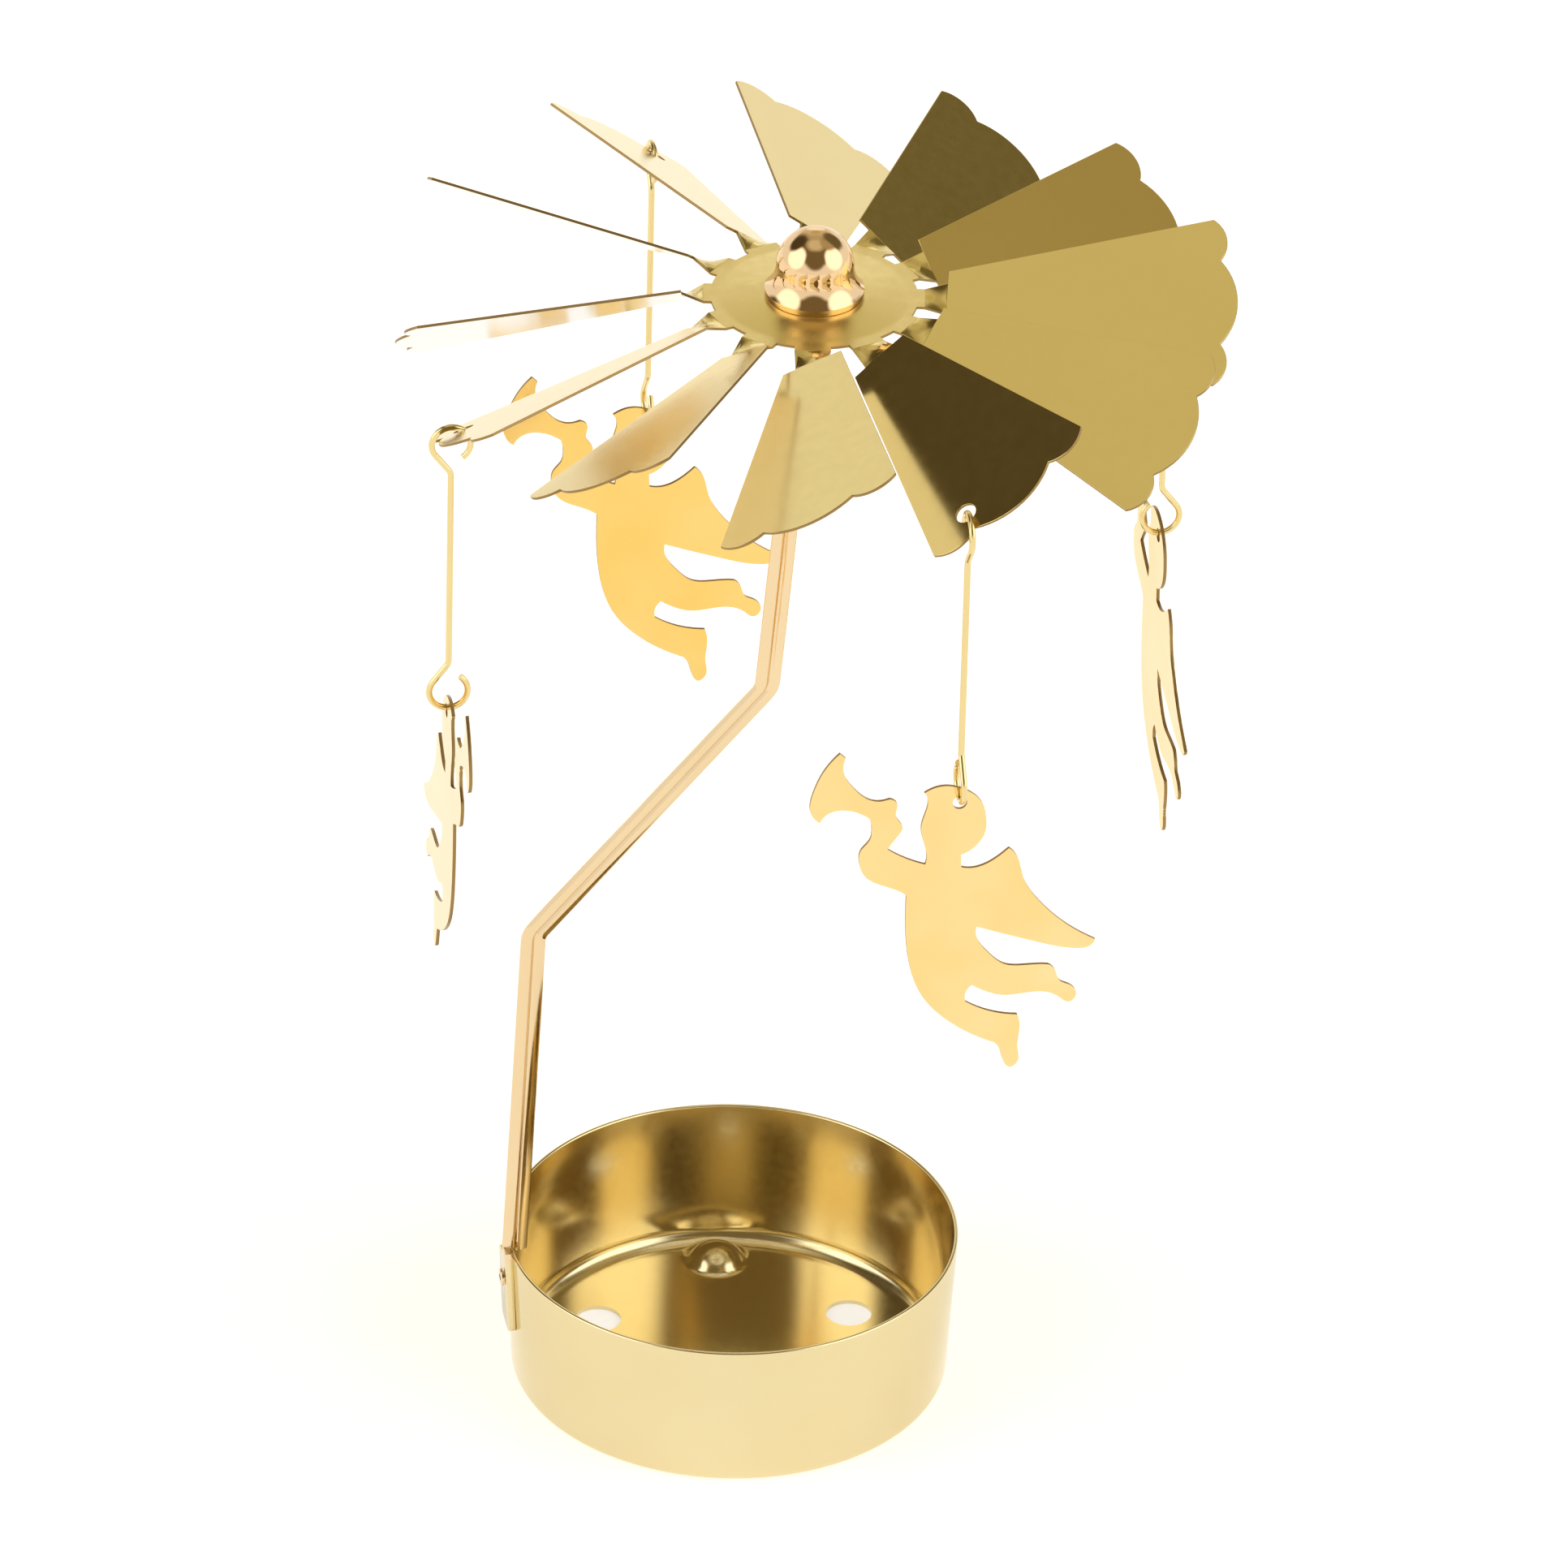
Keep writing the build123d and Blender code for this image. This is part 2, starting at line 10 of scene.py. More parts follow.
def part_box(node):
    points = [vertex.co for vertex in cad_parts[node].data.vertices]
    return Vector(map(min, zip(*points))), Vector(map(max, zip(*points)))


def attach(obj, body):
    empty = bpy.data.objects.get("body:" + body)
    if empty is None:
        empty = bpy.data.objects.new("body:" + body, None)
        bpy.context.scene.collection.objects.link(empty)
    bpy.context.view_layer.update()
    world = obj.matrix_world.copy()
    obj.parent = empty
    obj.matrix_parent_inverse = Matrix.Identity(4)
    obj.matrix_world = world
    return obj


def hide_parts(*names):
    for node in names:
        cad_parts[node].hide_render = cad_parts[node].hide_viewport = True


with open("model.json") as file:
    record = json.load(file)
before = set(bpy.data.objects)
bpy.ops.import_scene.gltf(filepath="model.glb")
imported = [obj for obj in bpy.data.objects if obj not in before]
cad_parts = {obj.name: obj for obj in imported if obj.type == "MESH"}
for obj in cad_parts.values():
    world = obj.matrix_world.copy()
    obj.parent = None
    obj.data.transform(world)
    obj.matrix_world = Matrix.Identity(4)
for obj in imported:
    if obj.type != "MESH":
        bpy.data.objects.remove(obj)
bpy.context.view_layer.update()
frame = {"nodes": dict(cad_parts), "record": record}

MM = 0.001
SIDES = ("right", "back", "left", "front")

# Closeness, in millimetres: points that merge, places that count as one, rings of points on a fold
MERGE_GAP, NEAR, FOLD_NEAR = 0.002, 0.01, 0.05

# Angles, in degrees: folds that are smoothed over, edges that are rounded, faces that count as flat
TURNED_SMOOTH, STRIP_SMOOTH, SHEET_SMOOTH, FAN_SMOOTH = 35.0, 30.0, 30.0, 9.0
ROUND_FROM = 50.0
FLAT_WITHIN = 0.5

# Upward share of its normal from which a face counts as looking up
FACES_UP = 0.9

# Camera, two metres off: a long lens well above the cup, slightly to its left and slightly turned
CAMERA_TARGET = Vector((5.70, -1.16, 97.94)) * MM
CAMERA_DISTANCE = 2.0
CAMERA_ELEVATION = 31.77
CAMERA_BEARING = -101.5
CAMERA_ROLL = 1.5
SENSOR_MM = 36.0
LENS_MM = 326.4

# Surround, by degrees above the floor: a white sweep, dim brown walls, a lit ceiling
SWEEP, WALLS, CEILING = "#FFFFFF", "#7A6C4E", "#DAD2B4"
SWEEP_TOP, WALLS_FROM, WALLS_TO, CEILING_FROM = 21.0, 31.0, 62.0, 76.0

# Soft boxes and flags in the surround: bearing from +X, elevation, core and edge half angles,
# colour and brightness
SOFT_SPOTS = [
    (CAMERA_BEARING + 180, 57.0, 8.0, 24.0, "#C2B698", 1.0),
    (CAMERA_BEARING + 180, 31.0, 9.0, 30.0, "#DED3B6", 1.0),
    (CAMERA_BEARING + 180, 42.0, 7.0, 10.0, "#C8BF8B", 1.0),
    (CAMERA_BEARING + 180, 19.0, 10.0, 12.5, "#FFFFFF", 1.15),
    (CAMERA_BEARING - 70, 28.0, 22.0, 34.0, "#FFFFFF", 1.8),
    (CAMERA_BEARING + 70, 28.0, 22.0, 34.0, "#FFFFFF", 1.8),
    (CAMERA_BEARING, 38.0, 20.0, 34.0, "#7A6B4C", 1.0),
    (6.0, 60.0, 8.0, 24.0, "#B6A881", 1.0),
    (34.0, 36.0, 14.0, 26.0, "#70674A", 1.0),
    (141.0, 42.0, 14.0, 26.0, "#514733", 1.0),
]

# Floor, in metres: a white card just under the cup
FLOOR_SIZE = 6.0
FLOOR_Z = -0.02 * MM
FLOOR_COLOUR, FLOOR_ROUGHNESS, FLOOR_GLOW = "#F4F4F4", 0.9, 0.52

# Plating: soft clouds, and a fine grain that changes roughness and height; sizes in millimetres
CLOUD_SIZE, CLOUD_DETAIL = 18.0, 2.0
GRAIN_DETAIL = 3.0
GRAIN_SMOOTHEST, GRAIN_ROUGHEST = 0.7, 1.3
GRAIN_BUMP = 0.25
ROLLED_TOOTH, POLISHED_TOOTH = 0.004, 0.001

# Cup, in millimetres: a drawn pan with pressed pips and vents in its floor
CUP_RIM_R, CUP_BASE_R, CUP_H = 32.5, 31.4, 23.0
CUP_SHEET = 0.6
CUP_CORNER_R, CUP_INNER_R = 1.8, 2.4
CUP_STEPS, FLOOR_RINGS = 288, 72
CUP_CORNER_STEPS, CUP_RIM_STEPS, CUP_INNER_STEPS = 10, 8, 14
CUP_FLOOR_BELOW = 2 * CUP_SHEET
PIP_R, PIP_H, PIP_BLEND = 4.4, 2.5, 0.35
PIP_CIRCLE_R, PIP_BEARINGS = 25.2, (83.5, 203.5, 323.5)
VENT_R, VENT_PUNCH, VENT_STEPS = 3.3, 4 * CUP_SHEET, 64
VENT_CIRCLE_R, VENT_BEARINGS = 21.0, (23.5, 143.5, 263.5)

# Post, in millimetres, in the XZ plane: a strip arched along its middle and cranked twice
POST_FOOT, POST_BEND_1, POST_BEND_2 = (-31.8, 23.1), (-29.7, 76.1), (3.0, 113.9)
FAN_AXIS_X = 8.4
STRIP_W, STRIP_T = 3.6, 0.6
STRIP_RIDGE_Y, STRIP_ARCH_R = -1.42, 3.0
CREASE_W, CREASE_DEPTH = 0.6, 0.32
STRIP_BEND_R, STRIP_ROUND = 3.2, 0.1
STRIP_HALF_STEPS, STRIP_BEND_STEPS, STRIP_ROUND_STEPS = 7, 8, 2
TAB_W, TAB_T, TAB_H = 6.0, 1.0, 12.2
TAB_ROUND, TAB_ROUND_STEPS = 1.2, 6
TAB_TOP_Z, TAB_SINK = 22.0, 0.12
TAB_NECK_W, TAB_NECK_H, TAB_NECK_Y = 3.2, 1.6, -1.4

# Cap, in millimetres: a drawn dome that flares out to a rolled skirt
CAP_DOME_R, CAP_T = 5.4, 0.5
CAP_SKIRT_R, CAP_SKIRT_H = 6.9, 0.9
CAP_LIP = 0.15
CAP_STEPS, DOME_STEPS, FLARE_STEPS, LIP_STEPS = 128, 28, 14, 4

# Sheet pieces, in millimetres: a cut edge has nothing behind it within CUT_DEPTH sheets
FAN_SHEET, ANGEL_SHEET = 0.4, 0.5
CUT_DEPTH = 1.6
EDGE_ROUND, EDGE_STEPS = 0.06, 2
CROWN_R, CAP_SEAT_R = 13.2, 7.4
CROWN_ROUND, CROWN_STEPS = 0.4, 4
NECK_ROOT_R = 15.2

# Order of the finishes on the post and on a sheet
STRIP_FINISH, TAB_FINISH = 0, 1
FACE_FINISH, CUT_FINISH, UNDER_PAINTED_FINISH, HUB_FINISH = 0, 1, 2, 3


def linear(hex_colour):
    """Linear RGBA of an sRGB hex colour."""
    channels = [int(hex_colour[i:i + 2], 16) / 255 for i in (1, 3, 5)]
    return [c / 12.92 if c <= 0.04045 else ((c + 0.055) / 1.055) ** 2.4 for c in channels] + [1.0]


def add_node(tree, kind, settings=None, inputs=None):
    """Adds a node, sets its properties, and sets or links its inputs."""
    node = tree.nodes.new(kind)
    for name, value in (settings or {}).items():
        setattr(node, name, value)
    for name, value in (inputs or {}).items():
        if isinstance(value, bpy.types.NodeSocket):
            tree.links.new(value, node.inputs[name])
        else:
            node.inputs[name].default_value = value
    return node


def set_ramp(node, stops):
    """Gives a colour ramp its stops: pairs of place and linear colour."""
    elements = node.color_ramp.elements
    while len(elements) > 1:
        elements.remove(elements[-1])
    elements[0].position, elements[0].color = stops[0]
    for place, colour in stops[1:]:
        elements.new(place).color = colour


def direction(bearing, elevation):
    """Unit vector at a bearing from +X and an elevation above the floor."""
    a, e = math.radians(bearing), math.radians(elevation)
    return Vector((math.cos(e) * math.cos(a), math.cos(e) * math.sin(a), math.sin(e)))


# Studio


def make_camera():
    """Camera on a line from its target, rolled a little."""
    towards = direction(CAMERA_BEARING, CAMERA_ELEVATION)
    camera = bpy.data.objects.new("camera", bpy.data.cameras.new("camera"))
    camera.data.sensor_width = SENSOR_MM
    camera.data.lens = LENS_MM
    turn = towards.to_track_quat("Z", "Y").to_matrix().to_4x4()
    roll = Matrix.Rotation(math.radians(CAMERA_ROLL), 4, "Z")
    camera.matrix_world = Matrix.Translation(CAMERA_TARGET + towards * CAMERA_DISTANCE) @ turn @ roll
    bpy.context.scene.collection.objects.link(camera)
    bpy.context.scene.camera = camera


def spot_share(tree, aim, bearing, elevation, core, edge):
    """One inside a cone about a direction, fading to nought between its core and its edge."""
    toward = add_node(tree, "ShaderNodeVectorMath", {"operation": "DOT_PRODUCT"}, {
        0: aim,
        1: direction(bearing, elevation),
    })
    fade = add_node(tree, "ShaderNodeMapRange", {"interpolation_type": "SMOOTHSTEP"}, {
        "Value": toward.outputs["Value"],
        "From Min": math.cos(math.radians(edge)),
        "From Max": math.cos(math.radians(core)),
    })
    return fade.outputs["Result"]


def make_surround():
    """White sweep round the horizon, dim walls above it, soft boxes and dark flags."""
    world = bpy.data.worlds.new("studio surround")
    bpy.context.scene.world = world
    world.use_nodes = True
    tree = world.node_tree
    tree.nodes.clear()
    aim = add_node(tree, "ShaderNodeTexCoord").outputs["Generated"]
    height = add_node(tree, "ShaderNodeSeparateXYZ", inputs={0: aim}).outputs["Z"]
    ramp = add_node(tree, "ShaderNodeValToRGB", inputs={0: height})
    levels = [
        (SWEEP_TOP, SWEEP), (WALLS_FROM, WALLS), (WALLS_TO, WALLS), (CEILING_FROM, CEILING),
    ]
    set_ramp(ramp, [(math.sin(math.radians(e)), linear(colour)) for e, colour in levels])
    light = ramp.outputs["Color"]
    for bearing, elevation, core, edge, colour, brightness in SOFT_SPOTS:
        light = add_node(tree, "ShaderNodeMix", {"data_type": "RGBA"}, {
            "Factor": spot_share(tree, aim, bearing, elevation, core, edge),
            6: light,
            7: [brightness * channel for channel in linear(colour)],
        }).outputs[2]
    back = add_node(tree, "ShaderNodeBackground", inputs={"Color": light})
    add_node(tree, "ShaderNodeOutputWorld", inputs={"Surface": back.outputs[0]})


def make_floor():
    """White card, lit from within a little so that it stays clean white."""
    bpy.ops.mesh.primitive_plane_add(size=FLOOR_SIZE, location=(0, 0, FLOOR_Z))
    floor = bpy.context.object
    floor.name = "floor"
    card = bpy.data.materials.new("white card")
    card.use_nodes = True
    shader = card.node_tree.nodes["Principled BSDF"]
    shader.inputs["Base Color"].default_value = linear(FLOOR_COLOUR)
    shader.inputs["Roughness"].default_value = FLOOR_ROUGHNESS
    shader.inputs["Specular IOR Level"].default_value = 0.0
    shader.inputs["Emission Color"].default_value = linear(SWEEP)
    shader.inputs["Emission Strength"].default_value = FLOOR_GLOW
    floor.data.materials.append(card)


# Finishes


def brass(name, bright, deep, roughness, grain_mm, tooth=ROLLED_TOOTH):
    """Brass plate: bright over most of it, deeper in soft clouds, with the grain of rolled sheet."""
    material = bpy.data.materials.new(name)
    material.use_nodes = True
    tree = material.node_tree
    shader = tree.nodes["Principled BSDF"]
    place = add_node(tree, "ShaderNodeTexCoord").outputs["Object"]
    clouds = add_node(tree, "ShaderNodeTexNoise", inputs={
        "Vector": place, "Scale": 1 / (CLOUD_SIZE * MM), "Detail": CLOUD_DETAIL,
    })
    tint = add_node(tree, "ShaderNodeMix", {"data_type": "RGBA"}, {
        "Factor": clouds.outputs["Fac"], 6: linear(bright), 7: linear(deep),
    })
    grain = add_node(tree, "ShaderNodeTexNoise", inputs={
        "Vector": place, "Scale": 1 / (grain_mm * MM), "Detail": GRAIN_DETAIL,
    })
    rough = add_node(tree, "ShaderNodeMapRange", inputs={
        "Value": grain.outputs["Fac"],
        "To Min": roughness * GRAIN_SMOOTHEST,
        "To Max": roughness * GRAIN_ROUGHEST,
    })
    bump = add_node(tree, "ShaderNodeBump", inputs={
        "Height": grain.outputs["Fac"], "Strength": GRAIN_BUMP, "Distance": tooth * MM,
    })
    tree.links.new(tint.outputs[2], shader.inputs["Base Color"])
    tree.links.new(rough.outputs["Result"], shader.inputs["Roughness"])
    tree.links.new(bump.outputs["Normal"], shader.inputs["Normal"])
    shader.inputs["Metallic"].default_value = 1.0
    return material


# Drawn sheet: pale brass that the drawing left a little soft, so it shows broad even bands
CUP_BRASS = brass("brass-plated drawn sheet", "#E8D9AE", "#E2CF9C", 0.16, 1.2)
# Stamped sheet: yellow brass as it left the rolls, with clear but soft mirror images
FAN_BRASS = brass("brass-plated stamped sheet", "#EBD48E", "#E7CE84", 0.17, 1.5)
# Pressed hub: satin where the tool held it, so that mirror images fade close to the cap
HUB_BRASS = brass("brass-plated pressed hub", "#EBD48E", "#E7CE84", 0.30, 1.5)
# Underside of the fan: near-white, a painted reflection of the bright floor, which the blades mirror as
# silver and not as twice gold
FAN_UNDERSIDE_PAINTED_REFLECTION = brass("underside with painted white reflection", "#F0EEEC", "#E6E3E0", 0.14, 1.5)
# Blanked sheet: warm brass with cloudy plating, nearly white where it mirrors the floor
ANGEL_BRASS = brass("brass-plated blanked sheet", "#F8E2AE", "#F0C873", 0.16, 1.0)
# The same brass in a deeper gold, given to the back angel only
ANGEL_DEEP_BRASS = brass("deeper gold blanked sheet", "#F5D68C", "#EFC158", 0.16, 1.0)
# Folded strip: rosy brass, bright along its arch, with a fine darker line in its crease
POST_BRASS = brass("brass-plated folded strip", "#EED6AE", "#E4C99E", 0.12, 0.8)
# Drawn cap: polished rosy brass with sharp mirror images
CAP_BRASS = brass("brass-plated drawn cap", "#F0CFA4", "#EAC694", 0.05, 2.0, POLISHED_TOOTH)
# Drawn wire: a bright line along each round
WIRE_BRASS = brass("brass-plated drawn wire", "#EEDCA6", "#E2C98A", 0.16, 0.5)
# Turned bush: duller yellow, partly turned brass and partly a painted shade for its place out of the
# light under the hub
TURNED_BRASS_AND_PAINTED_SHADE = brass("turned brass with painted shade", "#E6CC88", "#D9BC74", 0.22, 0.6)
# Sheared edge: bare, torn metal, a thin dark line round each sheet
SHEARED_BRASS = brass("sheared brass edge", "#A98B58", "#8C7145", 0.34, 0.3)
# Ground steel: cool grey with a fine ground sheen
GROUND_STEEL = brass("ground steel", "#C9CACB", "#B7B8BA", 0.2, 0.5)


# Shaping helpers


def new_piece(name, *finishes):
    """Names the active object and gives it its finishes."""
    piece = bpy.context.object
    piece.name = name
    piece.data.name = name
    piece.data.materials.clear()
    for finish in finishes:
        piece.data.materials.append(finish)
    return piece


def seat(piece, node):
    """Lets a finished piece stand for a CAD node, on that node's body."""
    bodies = {n: b for b, members in frame["record"]["behaviour"]["bodies"].items() for n in members}
    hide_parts(node)
    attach(piece, bodies[node])


def apply_modifier(piece, kind, **settings):
    """Adds a modifier to the active piece, sets it and applies it."""
    modifier = piece.modifiers.new(kind.lower(), kind)
    for name, value in settings.items():
        setattr(modifier, name, value)
    bpy.ops.object.modifier_apply(modifier=modifier.name)


def choose(piece, kind, test):
    """Selects only those faces or edges of a piece that pass a test, and stays in edit mode."""
    bpy.ops.object.mode_set(mode="EDIT")
    bpy.ops.mesh.select_mode(type=kind)
    bpy.ops.mesh.select_all(action="DESELECT")
    bpy.ops.object.mode_set(mode="OBJECT")
    for item in piece.data.polygons if kind == "FACE" else piece.data.edges:
        item.select = test(item)
    bpy.ops.object.mode_set(mode="EDIT")


def start_line(place):
    """Starts a piece from a primitive drawn together into one point, and stays in edit mode."""
    bpy.ops.object.select_all(action="DESELECT")
    bpy.ops.mesh.primitive_plane_add(size=MM)
    bpy.ops.object.mode_set(mode="EDIT")
    bpy.ops.mesh.select_mode(type="VERT")
    bpy.ops.mesh.select_all(action="SELECT")
    bpy.ops.mesh.merge(type="CENTER")
    bpy.ops.transform.translate(value=place)


def draw_on(points):
    """Extrudes the selected point along a run of points."""
    here = points[0]
    for there in points[1:]:
        bpy.ops.mesh.extrude_region_move(TRANSFORM_OT_translate={"value": there - here})
        here = there


def arc(centre_r, centre_z, radius, start, end, count):
    """Points of an arc in a turned profile, in millimetres, from one angle to another."""
    angles = [math.radians(start + (end - start) * i / count) for i in range(count + 1)]
    return [(centre_r + radius * math.cos(a), centre_z + radius * math.sin(a)) for a in angles]


def turn_profile(profile, steps, axis_x=0.0):
    """Turns a profile of (radius, height) points in millimetres once round an upright axis."""
    points = [Vector((axis_x + r, 0, z)) * MM for r, z in profile]
    start_line(points[0])
    draw_on(points)
    bpy.ops.mesh.select_all(action="SELECT")
    bpy.ops.mesh.spin(steps=steps, angle=2 * math.pi, center=(axis_x * MM, 0, 0), axis=(0, 0, 1))
    bpy.ops.mesh.select_all(action="SELECT")
    bpy.ops.mesh.remove_doubles(threshold=MERGE_GAP * MM)
    bpy.ops.mesh.normals_make_consistent(inside=False)
    bpy.ops.object.mode_set(mode="OBJECT")


# Cup


def cup_profile():
    """Section of the cup's wall and floor, from the underside's centre round to the floor's centre."""
    draft = math.degrees(math.atan2(CUP_RIM_R - CUP_BASE_R, CUP_H))
    rim_round = CUP_SHEET / 2
    rim_r = CUP_RIM_R - rim_round
    outer = arc(CUP_BASE_R - CUP_CORNER_R, CUP_CORNER_R, CUP_CORNER_R, -90, -draft, CUP_CORNER_STEPS)
    rim = arc(rim_r, CUP_H - rim_round, rim_round, 0, 180, CUP_RIM_STEPS)
    inner_z = CUP_SHEET + CUP_INNER_R
    inner = arc(CUP_BASE_R - inner_z, inner_z, CUP_INNER_R, -draft, -90, CUP_INNER_STEPS)
    shares = [i / FLOOR_RINGS for i in range(FLOOR_RINGS + 1)]
    under = [(outer[0][0] * share, 0.0) for share in shares]
    floor = [(inner[-1][0] * share, CUP_SHEET) for share in reversed(shares)]
    return under + outer[1:] + rim + inner + floor[1:]


def press_pips(piece):
    """Raises the three pips from the floor, each a dome that runs out into the sheet."""
    ball_r = (PIP_R ** 2 + PIP_H ** 2) / (2 * PIP_H)
    for bearing in PIP_BEARINGS:
        centre = direction(bearing, 0) * PIP_CIRCLE_R * MM
        for vertex in piece.data.vertices:
            away = (vertex.co.xy - centre.xy).length / MM
            if away < ball_r and vertex.co.z < CUP_FLOOR_BELOW * MM:
                dome = math.sqrt(ball_r ** 2 - away ** 2) - (ball_r - PIP_H)
                vertex.co.z += (dome + math.sqrt(dome ** 2 + PIP_BLEND ** 2)) / 2 * MM


def cut_vents(piece):
    """Punches the round vents through the floor."""
    for bearing in VENT_BEARINGS:
        bpy.ops.object.select_all(action="DESELECT")
        bpy.ops.mesh.primitive_cylinder_add(
            vertices=VENT_STEPS, radius=VENT_R * MM, depth=VENT_PUNCH * MM,
            location=direction(bearing, 0) * VENT_CIRCLE_R * MM,
        )
        punch = bpy.context.object
        bpy.context.view_layer.objects.active = piece
        apply_modifier(piece, "BOOLEAN", operation="DIFFERENCE", object=punch, solver="EXACT")
        bpy.data.objects.remove(punch)


def make_cup():
    """Turns the pan, then presses its pips and punches its vents."""
    turn_profile(cup_profile(), CUP_STEPS)
    cup = new_piece("cup", CUP_BRASS)
    press_pips(cup)
    cut_vents(cup)
    bpy.ops.object.select_all(action="DESELECT")
    cup.select_set(True)
    bpy.ops.object.shade_smooth_by_angle(angle=math.radians(TURNED_SMOOTH))
    seat(cup, "base_cup")


# Post


def in_xz(point):
    """Point in metres from a pair of millimetres in the XZ plane."""
    return Vector((point[0], 0, point[1])) * MM


def strip_section():
    """Outer line of the arched strip, as (across, depth) pairs in millimetres, creased in its middle."""
    edge = math.degrees(math.asin(STRIP_W / 2 / STRIP_ARCH_R))
    crease = math.degrees(math.asin(CREASE_W / 2 / STRIP_ARCH_R))
    centre_y = STRIP_RIDGE_Y + STRIP_ARCH_R
    left = arc(0.0, centre_y, STRIP_ARCH_R, -90 - edge, -90 - crease, STRIP_HALF_STEPS)
    right = arc(0.0, centre_y, STRIP_ARCH_R, -90 + crease, -90 + edge, STRIP_HALF_STEPS)
    return left + [(0.0, STRIP_RIDGE_Y + CREASE_DEPTH)] + right


def make_strip():
    """Draws the section at the foot, then extrudes it up each leg and spins it round each bend."""
    top_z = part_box("post")[1].z / MM
    tip_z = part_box("pivot_needle")[1].z / MM
    rise = (top_z - POST_BEND_2[1]) / (tip_z - POST_BEND_2[1])
    top = (POST_BEND_2[0] + (FAN_AXIS_X - POST_BEND_2[0]) * rise, top_z)
    corners = [in_xz(p) for p in (POST_FOOT, POST_BEND_1, POST_BEND_2, top)]
    runs = [(b - a).normalized() for a, b in zip(corners, corners[1:])]
    across = Vector((runs[0].z, 0, -runs[0].x))
    section = [corners[0] + across * u * MM + Vector((0, y * MM, 0)) for u, y in strip_section()]
    start_line(section[0])
    draw_on(section)
    bpy.ops.mesh.select_all(action="SELECT")
    here = corners[0]
    for corner, run, after in zip(corners[1:], runs, runs[1:] + [None]):
        if after is None:
            bpy.ops.mesh.extrude_region_move(TRANSFORM_OT_translate={"value": corner - here})
            break
        bend = run.angle(after)
        setback = STRIP_BEND_R * MM * math.tan(bend / 2)
        bpy.ops.mesh.extrude_region_move(
            TRANSFORM_OT_translate={"value": corner - run * setback - here}
        )
        axis = run.cross(after).normalized()
        centre = corner - run * setback + axis.cross(run) * STRIP_BEND_R * MM
        bpy.ops.mesh.spin(steps=STRIP_BEND_STEPS, angle=-bend, center=centre, axis=axis)
        here = corner + after * setback
    bpy.ops.object.mode_set(mode="OBJECT")


def at_tab_corner(ends):
    """Whether an edge of the tab runs through its thickness at one of its outer corners."""
    at_side = all(abs(abs(p.y) - TAB_W / 2 * MM) < NEAR * MM for p in ends)
    at_neck = ends[0].y < 0 and ends[0].z > 0
    return at_side and abs(ends[0].x - ends[1].x) > TAB_T / 2 * MM and not at_neck


def make_tab(strip):
    """Flat tab outside the cup's wall, its corners rounded, with a neck up to the strip."""
    draft = math.atan2(CUP_RIM_R - CUP_BASE_R, CUP_H)
    bpy.ops.object.select_all(action="DESELECT")
    bpy.ops.mesh.primitive_cube_add(size=MM)
    tab = bpy.context.object
    bpy.ops.transform.resize(value=(TAB_T, TAB_W, TAB_H))
    bpy.ops.object.transform_apply(location=True, rotation=True, scale=True)
    bpy.ops.object.mode_set(mode="EDIT")
    bpy.ops.mesh.select_all(action="SELECT")
    bpy.ops.mesh.bisect(plane_co=(0, (TAB_NECK_Y + TAB_NECK_W / 2) * MM, 0), plane_no=(0, 1, 0))
    choose(tab, "FACE", lambda face: (
        face.normal.z > FACES_UP and abs(face.center.y / MM - TAB_NECK_Y) < TAB_NECK_W / 4
    ))
    bpy.ops.mesh.extrude_region_move(TRANSFORM_OT_translate={"value": (0, 0, TAB_NECK_H * MM)})
    choose(tab, "EDGE", lambda edge: at_tab_corner([tab.data.vertices[i].co for i in edge.vertices]))
    bpy.ops.mesh.bevel(offset=TAB_ROUND * MM, segments=TAB_ROUND_STEPS)
    bpy.ops.mesh.select_all(action="SELECT")
    bpy.ops.mesh.normals_make_consistent(inside=False)
    bpy.ops.object.mode_set(mode="OBJECT")
    out = CUP_RIM_R - (CUP_H - TAB_TOP_Z) * math.tan(draft) - TAB_SINK
    lean = Matrix.Rotation(-draft, 4, "Y")
    hang = Matrix.Translation(Vector((-TAB_T / 2, 0, -TAB_H / 2)) * MM)
    tab.data.transform(Matrix.Translation(Vector((-out, 0, TAB_TOP_Z)) * MM) @ lean @ hang)
    bpy.context.view_layer.objects.active = strip
    apply_modifier(strip, "BOOLEAN", operation="UNION", object=tab, solver="EXACT")
    bpy.data.objects.remove(tab)


def make_post():
    """Gives the strip its thickness, joins the tab to it and rounds its edges."""
    make_strip()
    post = new_piece("post_strip", POST_BRASS, CUP_BRASS)
    if post.data.polygons[len(post.data.polygons) // 2].normal.y > 0:
        post.data.flip_normals()
    apply_modifier(post, "SOLIDIFY", thickness=STRIP_T * MM, offset=-1.0, use_even_offset=True)
    make_tab(post)
    bpy.ops.object.select_all(action="DESELECT")
    post.select_set(True)
    apply_modifier(
        post, "BEVEL", width=STRIP_ROUND * MM, segments=STRIP_ROUND_STEPS, limit_method="ANGLE",
        angle_limit=math.radians(ROUND_FROM),
    )
    bpy.ops.object.shade_smooth_by_angle(angle=math.radians(STRIP_SMOOTH))
    for face in post.data.polygons:
        face.material_index = TAB_FINISH if face.center.z < TAB_TOP_Z * MM else STRIP_FINISH
    seat(post, "post")


# Sheet pieces


